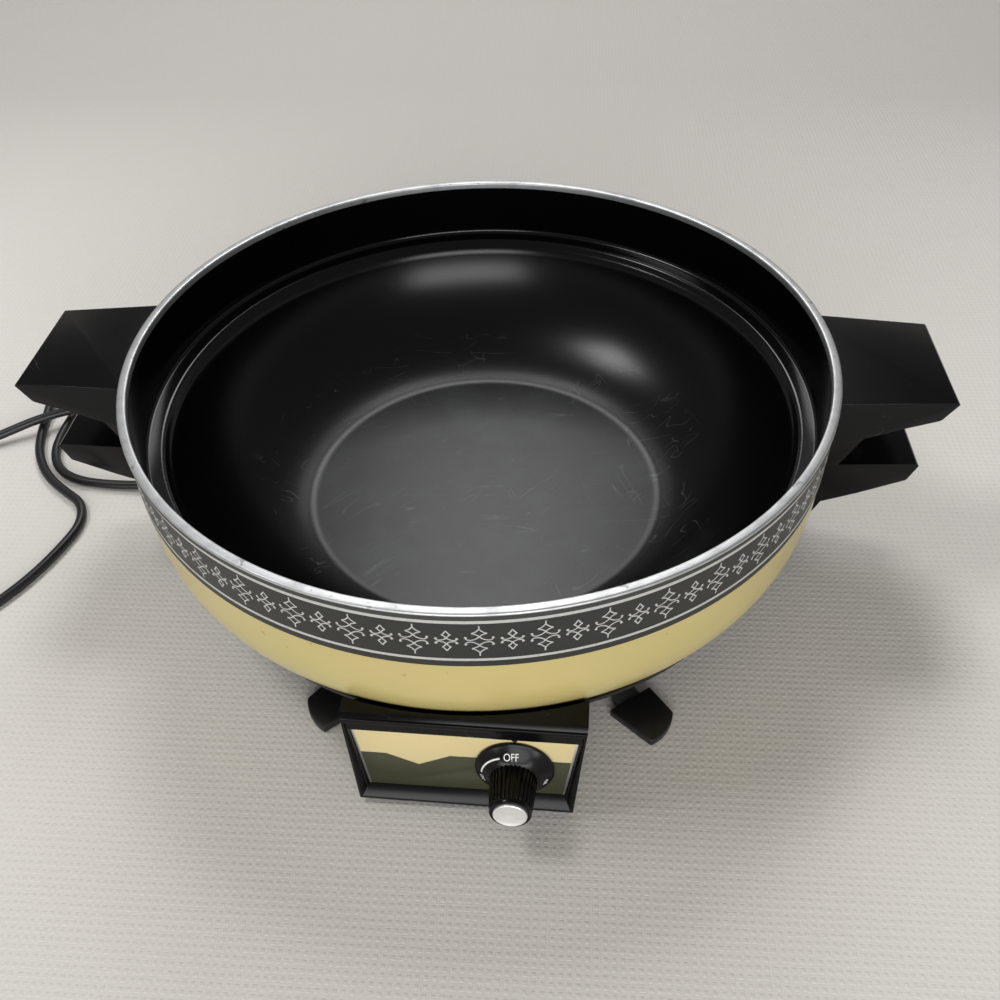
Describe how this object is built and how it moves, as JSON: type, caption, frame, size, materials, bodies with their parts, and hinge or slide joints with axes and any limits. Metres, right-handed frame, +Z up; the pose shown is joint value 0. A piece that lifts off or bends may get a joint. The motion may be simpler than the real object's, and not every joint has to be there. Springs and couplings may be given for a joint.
{
  "type": "electric skillet",
  "caption": "Round electric skillet: a black-lined yellow pan with a patterned band lifts off a black heater base with a front control box, knob and cord.",
  "frame": {"origin": "pan axis on the table the feet stand on", "axes": "+Z up, the control box faces -Y, the handles lie along X"},
  "size_m": [0.5578, 0.3365, 0.114],
  "materials": {
    "nonstick": "satin non-stick coating",
    "yellow_enamel": "glossy enamel",
    "band_enamel": "satin printed band",
    "bare_aluminium": "bare edge",
    "phenolic": "glossy moulded",
    "black_enamel": "glossy",
    "polished_steel": "plated",
    "zinc_steel": "dull zinc",
    "element_sheath": "heat-darkened steel sheath",
    "white_ceramic": "matt",
    "printed_plate": "printed aluminium",
    "foot_rubber": "moulded",
    "cord_rubber": "smooth",
    "brass": "nickelled",
    "spun_aluminium": "spun"
  },
  "bodies": {
    "base": {"base_dish": "black_enamel", "heat_reflector": "polished_steel", "pan_rests": "black_enamel", "heat_sensor": "polished_steel", "element_clips": "polished_steel", "heating_element": "element_sheath", "terminal_block": "white_ceramic", "base_handle_right": "phenolic", "base_handle_left": "phenolic", "base_handle_screw_right": "polished_steel", "base_handle_screw_left": "polished_steel", "control_box": "phenolic", "control_plate": "printed_plate", "box_cover": "black_enamel", "leg_front_right": "zinc_steel", "leg_front_left": "zinc_steel", "leg_rear_right": "zinc_steel", "leg_rear_left": "zinc_steel", "foot_pad_front_right": "foot_rubber", "foot_pad_front_left": "foot_rubber", "foot_pad_rear_right": "foot_rubber", "foot_pad_rear_left": "foot_rubber", "leg_rivets": "zinc_steel", "strain_relief": "cord_rubber", "cord_near": "cord_rubber", "cord_coil": "cord_rubber", "cord_far": "cord_rubber", "plug_body": "cord_rubber", "plug_blades": "brass"},
    "pan": {"pan_liner": "nonstick", "pan_shell": "yellow_enamel", "pan_band": "band_enamel", "pan_rim": "bare_aluminium", "pan_handle_right": "phenolic", "pan_handle_left": "phenolic", "pan_handle_screw_right": "polished_steel", "pan_handle_screw_left": "polished_steel", "pan_handle_bracket_right": "polished_steel", "pan_handle_bracket_left": "polished_steel"},
    "knob": {"knob_grip": "phenolic", "knob_cap": "spun_aluminium", "knob_shaft": "polished_steel"}
  },
  "joints": [
    {"name": "pan_lift", "type": "slide", "parent": "base", "child": "pan", "axis": [0, 0, 1], "range_m": [0, 0.15]},
    {"name": "knob_turn", "type": "hinge", "parent": "base", "child": "knob", "pos_m": [0.02278, -0.15903, 0.0241], "axis": [0.0313, 0.9955, -0.0894], "range_deg": [0, 300]}
  ]
}
